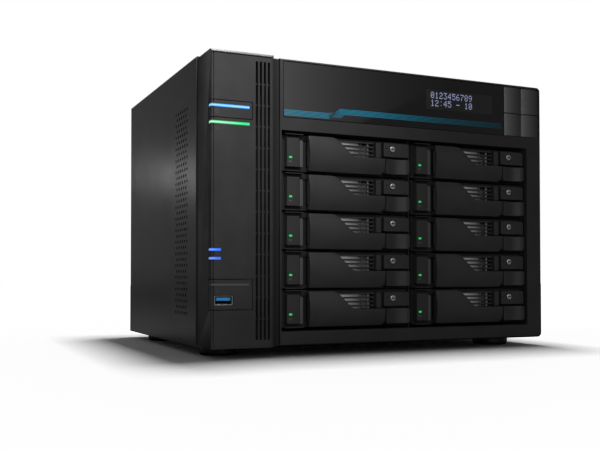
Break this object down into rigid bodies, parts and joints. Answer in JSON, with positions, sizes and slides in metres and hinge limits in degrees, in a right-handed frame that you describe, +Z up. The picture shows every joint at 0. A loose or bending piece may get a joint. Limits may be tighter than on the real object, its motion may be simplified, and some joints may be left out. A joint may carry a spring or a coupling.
{
  "type": "network storage enclosure",
  "caption": "Desktop network storage enclosure with front drive trays in two columns, latch levers, a control column, a status display with menu keys, a perforated cover and round feet.",
  "frame": {"origin": "middle of the footprint on the surface it stands on", "axes": "+Z up, the front faces -Y, +X to the right when seen from the front"},
  "size_m": [0.293, 0.23, 0.2163],
  "materials": {
    "cover_paint": "satin",
    "chassis_steel": "satin",
    "cage_steel": "satin",
    "bezel_plastic": "matte",
    "panel_plastic": "matte",
    "window_gloss": "gloss",
    "circuit_board": "satin",
    "psu_steel": "satin",
    "fan_plastic": "satin",
    "foot_rubber": "matte",
    "screw_steel": "polished",
    "tray_plastic": "matte",
    "lever_plastic": "matte",
    "lock_metal": "satin",
    "key_gloss": "satin",
    "drive_aluminium": "satin",
    "drive_label": "matte",
    "port_metal": "satin",
    "port_plastic": "satin",
    "blue_plastic": "satin",
    "gold_contact": "polished",
    "blue_light": "satin",
    "green_light": "satin",
    "unlit_lens": "satin",
    "screen_glyph": "satin",
    "teal_print": "gloss",
    "icon_print": "matte"
  },
  "bodies": {
    "root": {"outer_cover": "cover_paint", "chassis": "chassis_steel", "drive_cage": "cage_steel", "front_bezel": "bezel_plastic", "control_panel": "panel_plastic", "display_window": "window_gloss", "drive_backplane": "circuit_board", "system_boards": "circuit_board", "power_supply": "psu_steel", "fan_frames": "fan_plastic", "feet": "foot_rubber", "fasteners": "screw_steel"},
    "drive_tray_1": {"drive_tray_1": "tray_plastic"},
    "tray_lever_1": {"tray_lever_1": "lever_plastic"},
    "release_button_1": {"release_button_1": "lever_plastic"},
    "tray_lock_1": {"tray_lock_1": "lock_metal"},
    "drive_tray_2": {"drive_tray_2": "tray_plastic"},
    "tray_lever_2": {"tray_lever_2": "lever_plastic"},
    "release_button_2": {"release_button_2": "lever_plastic"},
    "tray_lock_2": {"tray_lock_2": "lock_metal"},
    "drive_tray_3": {"drive_tray_3": "tray_plastic"},
    "tray_lever_3": {"tray_lever_3": "lever_plastic"},
    "release_button_3": {"release_button_3": "lever_plastic"},
    "tray_lock_3": {"tray_lock_3": "lock_metal"},
    "drive_tray_4": {"drive_tray_4": "tray_plastic"},
    "tray_lever_4": {"tray_lever_4": "lever_plastic"},
    "release_button_4": {"release_button_4": "lever_plastic"},
    "tray_lock_4": {"tray_lock_4": "lock_metal"},
    "drive_tray_5": {"drive_tray_5": "tray_plastic"},
    "tray_lever_5": {"tray_lever_5": "lever_plastic"},
    "release_button_5": {"release_button_5": "lever_plastic"},
    "tray_lock_5": {"tray_lock_5": "lock_metal"},
    "drive_tray_6": {"drive_tray_6": "tray_plastic"},
    "tray_lever_6": {"tray_lever_6": "lever_plastic"},
    "release_button_6": {"release_button_6": "lever_plastic"},
    "tray_lock_6": {"tray_lock_6": "lock_metal"},
    "drive_tray_7": {"drive_tray_7": "tray_plastic"},
    "tray_lever_7": {"tray_lever_7": "lever_plastic"},
    "release_button_7": {"release_button_7": "lever_plastic"},
    "tray_lock_7": {"tray_lock_7": "lock_metal"},
    "drive_tray_8": {"drive_tray_8": "tray_plastic"},
    "tray_lever_8": {"tray_lever_8": "lever_plastic"},
    "release_button_8": {"release_button_8": "lever_plastic"},
    "tray_lock_8": {"tray_lock_8": "lock_metal"},
    "drive_tray_9": {"drive_tray_9": "tray_plastic"},
    "tray_lever_9": {"tray_lever_9": "lever_plastic"},
    "release_button_9": {"release_button_9": "lever_plastic"},
    "tray_lock_9": {"tray_lock_9": "lock_metal"},
    "drive_tray_10": {"drive_tray_10": "tray_plastic"},
    "tray_lever_10": {"tray_lever_10": "lever_plastic"},
    "release_button_10": {"release_button_10": "lever_plastic"},
    "tray_lock_10": {"tray_lock_10": "lock_metal"},
    "power_button": {"power_button": "panel_plastic"},
    "copy_button": {"copy_button": "panel_plastic"},
    "key_up": {"key_up": "key_gloss"},
    "key_down": {"key_down": "key_gloss"},
    "key_back": {"key_back": "key_gloss"},
    "key_enter": {"key_enter": "key_gloss"},
    "fan_rotor_1": {"fan_rotor_1": "fan_plastic"},
    "fan_rotor_2": {"fan_rotor_2": "fan_plastic"}
  },
  "joints": [
    {"name": "tray_slide_1", "type": "slide", "parent": "root", "child": "drive_tray_1", "axis": [0, -1, 0], "range_m": [0, 0.175]},
    {"name": "lever_hinge_1", "type": "hinge", "parent": "drive_tray_1", "child": "tray_lever_1", "pos_m": [-0.0653, -0.1048, 0.1475], "axis": [0, 0, -1], "range_deg": [0, 60]},
    {"name": "release_press_1", "type": "slide", "parent": "drive_tray_1", "child": "release_button_1", "axis": [0, 1, 0], "range_m": [0, 0.002], "stiffness_N_per_m": 400, "springref_m": -0.001},
    {"name": "lock_turn_1", "type": "hinge", "parent": "drive_tray_1", "child": "tray_lock_1", "pos_m": [0.0037, -0.105, 0.1547], "axis": [0, 1, 0], "range_deg": [0, 90]},
    {"name": "tray_slide_2", "type": "slide", "parent": "root", "child": "drive_tray_2", "axis": [0, -1, 0], "range_m": [0, 0.175]},
    {"name": "lever_hinge_2", "type": "hinge", "parent": "drive_tray_2", "child": "tray_lever_2", "pos_m": [-0.0653, -0.1048, 0.119], "axis": [0, 0, -1], "range_deg": [0, 60]},
    {"name": "release_press_2", "type": "slide", "parent": "drive_tray_2", "child": "release_button_2", "axis": [0, 1, 0], "range_m": [0, 0.002], "stiffness_N_per_m": 400, "springref_m": -0.001},
    {"name": "lock_turn_2", "type": "hinge", "parent": "drive_tray_2", "child": "tray_lock_2", "pos_m": [0.0037, -0.105, 0.1262], "axis": [0, 1, 0], "range_deg": [0, 90]},
    {"name": "tray_slide_3", "type": "slide", "parent": "root", "child": "drive_tray_3", "axis": [0, -1, 0], "range_m": [0, 0.175]},
    {"name": "lever_hinge_3", "type": "hinge", "parent": "drive_tray_3", "child": "tray_lever_3", "pos_m": [-0.0653, -0.1048, 0.0905], "axis": [0, 0, -1], "range_deg": [0, 60]},
    {"name": "release_press_3", "type": "slide", "parent": "drive_tray_3", "child": "release_button_3", "axis": [0, 1, 0], "range_m": [0, 0.002], "stiffness_N_per_m": 400, "springref_m": -0.001},
    {"name": "lock_turn_3", "type": "hinge", "parent": "drive_tray_3", "child": "tray_lock_3", "pos_m": [0.0037, -0.105, 0.0977], "axis": [0, 1, 0], "range_deg": [0, 90]},
    {"name": "tray_slide_4", "type": "slide", "parent": "root", "child": "drive_tray_4", "axis": [0, -1, 0], "range_m": [0, 0.175]},
    {"name": "lever_hinge_4", "type": "hinge", "parent": "drive_tray_4", "child": "tray_lever_4", "pos_m": [-0.0653, -0.1048, 0.062], "axis": [0, 0, -1], "range_deg": [0, 60]},
    {"name": "release_press_4", "type": "slide", "parent": "drive_tray_4", "child": "release_button_4", "axis": [0, 1, 0], "range_m": [0, 0.002], "stiffness_N_per_m": 400, "springref_m": -0.001},
    {"name": "lock_turn_4", "type": "hinge", "parent": "drive_tray_4", "child": "tray_lock_4", "pos_m": [0.0037, -0.105, 0.0692], "axis": [0, 1, 0], "range_deg": [0, 90]},
    {"name": "tray_slide_5", "type": "slide", "parent": "root", "child": "drive_tray_5", "axis": [0, -1, 0], "range_m": [0, 0.175]},
    {"name": "lever_hinge_5", "type": "hinge", "parent": "drive_tray_5", "child": "tray_lever_5", "pos_m": [-0.0653, -0.1048, 0.0335], "axis": [0, 0, -1], "range_deg": [0, 60]},
    {"name": "release_press_5", "type": "slide", "parent": "drive_tray_5", "child": "release_button_5", "axis": [0, 1, 0], "range_m": [0, 0.002], "stiffness_N_per_m": 400, "springref_m": -0.001},
    {"name": "lock_turn_5", "type": "hinge", "parent": "drive_tray_5", "child": "tray_lock_5", "pos_m": [0.0037, -0.105, 0.0407], "axis": [0, 1, 0], "range_deg": [0, 90]},
    {"name": "tray_slide_6", "type": "slide", "parent": "root", "child": "drive_tray_6", "axis": [0, -1, 0], "range_m": [0, 0.175]},
    {"name": "lever_hinge_6", "type": "hinge", "parent": "drive_tray_6", "child": "tray_lever_6", "pos_m": [0.0451, -0.1048, 0.1475], "axis": [0, 0, -1], "range_deg": [0, 60]},
    {"name": "release_press_6", "type": "slide", "parent": "drive_tray_6", "child": "release_button_6", "axis": [0, 1, 0], "range_m": [0, 0.002], "stiffness_N_per_m": 400, "springref_m": -0.001},
    {"name": "lock_turn_6", "type": "hinge", "parent": "drive_tray_6", "child": "tray_lock_6", "pos_m": [0.1141, -0.105, 0.1547], "axis": [0, 1, 0], "range_deg": [0, 90]},
    {"name": "tray_slide_7", "type": "slide", "parent": "root", "child": "drive_tray_7", "axis": [0, -1, 0], "range_m": [0, 0.175]},
    {"name": "lever_hinge_7", "type": "hinge", "parent": "drive_tray_7", "child": "tray_lever_7", "pos_m": [0.0451, -0.1048, 0.119], "axis": [0, 0, -1], "range_deg": [0, 60]},
    {"name": "release_press_7", "type": "slide", "parent": "drive_tray_7", "child": "release_button_7", "axis": [0, 1, 0], "range_m": [0, 0.002], "stiffness_N_per_m": 400, "springref_m": -0.001},
    {"name": "lock_turn_7", "type": "hinge", "parent": "drive_tray_7", "child": "tray_lock_7", "pos_m": [0.1141, -0.105, 0.1262], "axis": [0, 1, 0], "range_deg": [0, 90]},
    {"name": "tray_slide_8", "type": "slide", "parent": "root", "child": "drive_tray_8", "axis": [0, -1, 0], "range_m": [0, 0.175]},
    {"name": "lever_hinge_8", "type": "hinge", "parent": "drive_tray_8", "child": "tray_lever_8", "pos_m": [0.0451, -0.1048, 0.0905], "axis": [0, 0, -1], "range_deg": [0, 60]},
    {"name": "release_press_8", "type": "slide", "parent": "drive_tray_8", "child": "release_button_8", "axis": [0, 1, 0], "range_m": [0, 0.002], "stiffness_N_per_m": 400, "springref_m": -0.001},
    {"name": "lock_turn_8", "type": "hinge", "parent": "drive_tray_8", "child": "tray_lock_8", "pos_m": [0.1141, -0.105, 0.0977], "axis": [0, 1, 0], "range_deg": [0, 90]},
    {"name": "tray_slide_9", "type": "slide", "parent": "root", "child": "drive_tray_9", "axis": [0, -1, 0], "range_m": [0, 0.175]},
    {"name": "lever_hinge_9", "type": "hinge", "parent": "drive_tray_9", "child": "tray_lever_9", "pos_m": [0.0451, -0.1048, 0.062], "axis": [0, 0, -1], "range_deg": [0, 60]},
    {"name": "release_press_9", "type": "slide", "parent": "drive_tray_9", "child": "release_button_9", "axis": [0, 1, 0], "range_m": [0, 0.002], "stiffness_N_per_m": 400, "springref_m": -0.001},
    {"name": "lock_turn_9", "type": "hinge", "parent": "drive_tray_9", "child": "tray_lock_9", "pos_m": [0.1141, -0.105, 0.0692], "axis": [0, 1, 0], "range_deg": [0, 90]},
    {"name": "tray_slide_10", "type": "slide", "parent": "root", "child": "drive_tray_10", "axis": [0, -1, 0], "range_m": [0, 0.175]},
    {"name": "lever_hinge_10", "type": "hinge", "parent": "drive_tray_10", "child": "tray_lever_10", "pos_m": [0.0451, -0.1048, 0.0335], "axis": [0, 0, -1], "range_deg": [0, 60]},
    {"name": "release_press_10", "type": "slide", "parent": "drive_tray_10", "child": "release_button_10", "axis": [0, 1, 0], "range_m": [0, 0.002], "stiffness_N_per_m": 400, "springref_m": -0.001},
    {"name": "lock_turn_10", "type": "hinge", "parent": "drive_tray_10", "child": "tray_lock_10", "pos_m": [0.1141, -0.105, 0.0407], "axis": [0, 1, 0], "range_deg": [0, 90]},
    {"name": "power_button_press", "type": "slide", "parent": "root", "child": "power_button", "axis": [0, 1, 0], "range_m": [0, 0.0008], "stiffness_N_per_m": 900, "springref_m": -0.0008},
    {"name": "copy_button_press", "type": "slide", "parent": "root", "child": "copy_button", "axis": [0, 1, 0], "range_m": [0, 0.0008], "stiffness_N_per_m": 900, "springref_m": -0.0008},
    {"name": "key_up_press", "type": "slide", "parent": "root", "child": "key_up", "axis": [0, 1, 0], "range_m": [0, 0.0008], "stiffness_N_per_m": 900, "springref_m": -0.0008},
    {"name": "key_down_press", "type": "slide", "parent": "root", "child": "key_down", "axis": [0, 1, 0], "range_m": [0, 0.0008], "stiffness_N_per_m": 900, "springref_m": -0.0008},
    {"name": "key_back_press", "type": "slide", "parent": "root", "child": "key_back", "axis": [0, 1, 0], "range_m": [0, 0.0008], "stiffness_N_per_m": 900, "springref_m": -0.0008},
    {"name": "key_enter_press", "type": "slide", "parent": "root", "child": "key_enter", "axis": [0, 1, 0], "range_m": [0, 0.0008], "stiffness_N_per_m": 900, "springref_m": -0.0008},
    {"name": "fan_spin_1", "type": "hinge", "parent": "root", "child": "fan_rotor_1", "pos_m": [-0.0359, 0.1003, 0.122], "axis": [0, 1, 0], "continuous": true},
    {"name": "fan_spin_2", "type": "hinge", "parent": "root", "child": "fan_rotor_2", "pos_m": [0.0845, 0.1003, 0.122], "axis": [0, 1, 0], "continuous": true}
  ]
}
